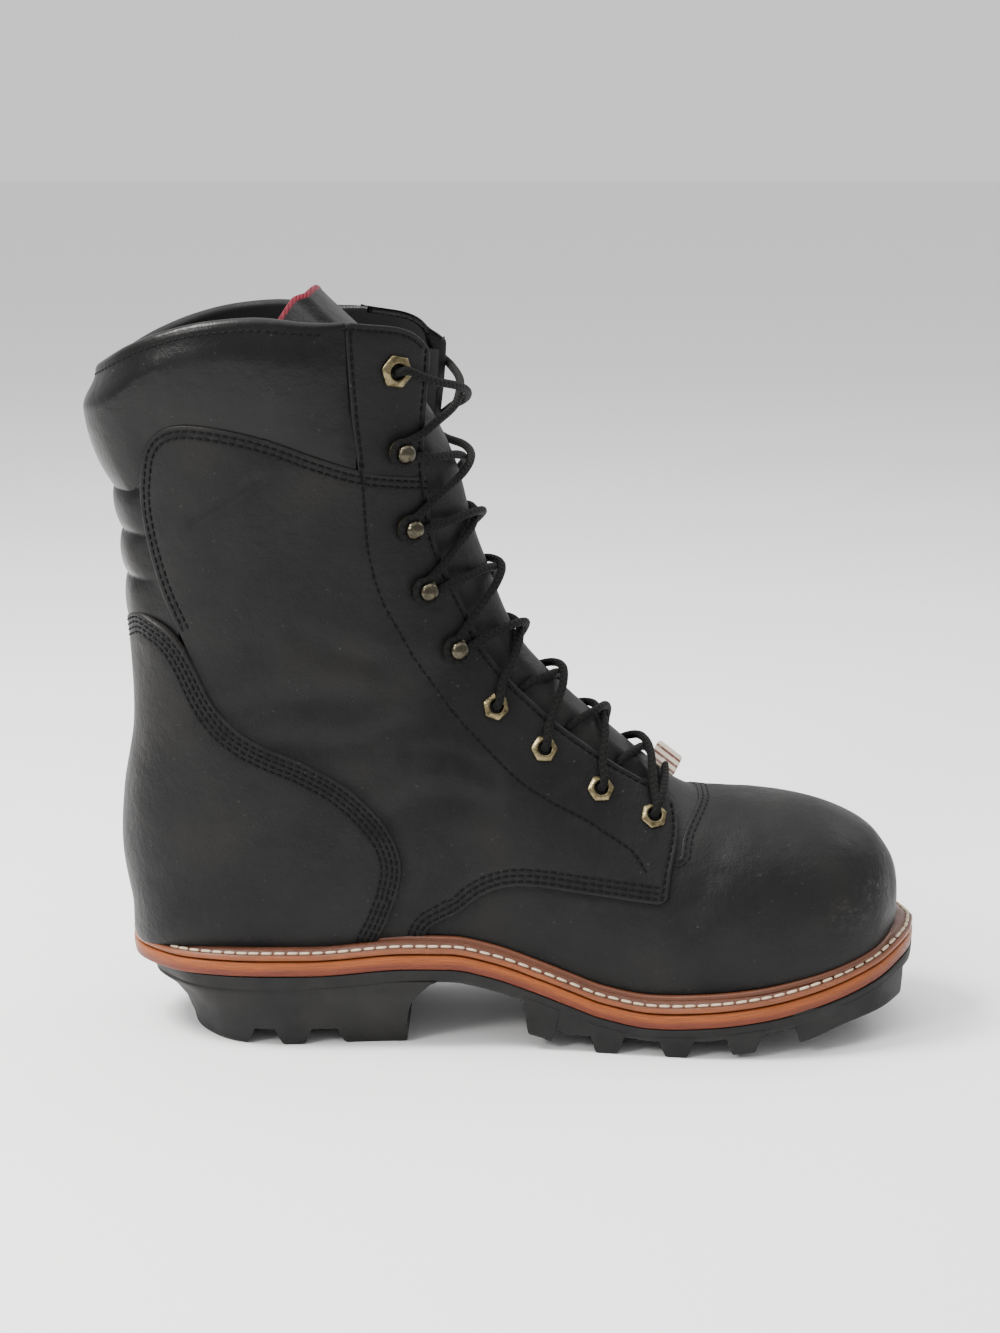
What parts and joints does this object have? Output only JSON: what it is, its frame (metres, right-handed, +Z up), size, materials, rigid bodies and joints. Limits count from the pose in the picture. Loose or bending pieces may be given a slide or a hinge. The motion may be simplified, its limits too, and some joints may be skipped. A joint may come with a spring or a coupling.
{
  "type": "logger boot",
  "caption": "Tall lace-up work boot with a welted lug sole, raised undercut heel, padded collar, tongue, metal eyelets and lace hooks, hollow and open at the collar.",
  "frame": {"origin": "on the floor under the middle of the heel's tread, on the boot's centre line", "axes": "+X towards the toe, +Y towards the outer side of this left boot, +Z up"},
  "size_m": [0.3284, 0.1108, 0.297],
  "materials": {
    "leather": "oiled matte black leather",
    "tongue": "soft matte black leather",
    "midsole": "burnished tan edge",
    "welt": "dark red brown welt",
    "insole": "dark board",
    "rubber": "matte black lug rubber",
    "brass": "antique brass",
    "gunmetal": "dark gunmetal",
    "lace": "round woven black cord",
    "enamel": "striped enamel plate"
  },
  "bodies": {
    "root": {"outsole": "rubber", "heel": "rubber", "midsole": "midsole", "welt": "welt", "insole": "insole", "upper": "leather", "tongue": "tongue", "eyelet_inner_1": "brass", "eyelet_outer_1": "brass", "eyelet_inner_2": "brass", "eyelet_outer_2": "brass", "eyelet_inner_3": "brass", "eyelet_outer_3": "brass", "eyelet_inner_4": "brass", "eyelet_outer_4": "brass", "hook_inner_5": "gunmetal", "hook_outer_5": "gunmetal", "hook_inner_6": "gunmetal", "hook_outer_6": "gunmetal", "hook_inner_7": "gunmetal", "hook_outer_7": "gunmetal", "hook_inner_8": "gunmetal", "hook_outer_8": "gunmetal", "eyelet_inner_9": "brass", "eyelet_outer_9": "brass", "lace_bar": "lace", "lace_crossing_1": "lace", "lace_crossing_2": "lace", "lace_crossing_3": "lace", "lace_crossing_4": "lace", "lace_crossing_5": "lace", "lace_crossing_6": "lace", "lace_crossing_7": "lace", "lace_crossing_8": "lace", "lace_keeper": "enamel"}
  },
  "joints": []
}
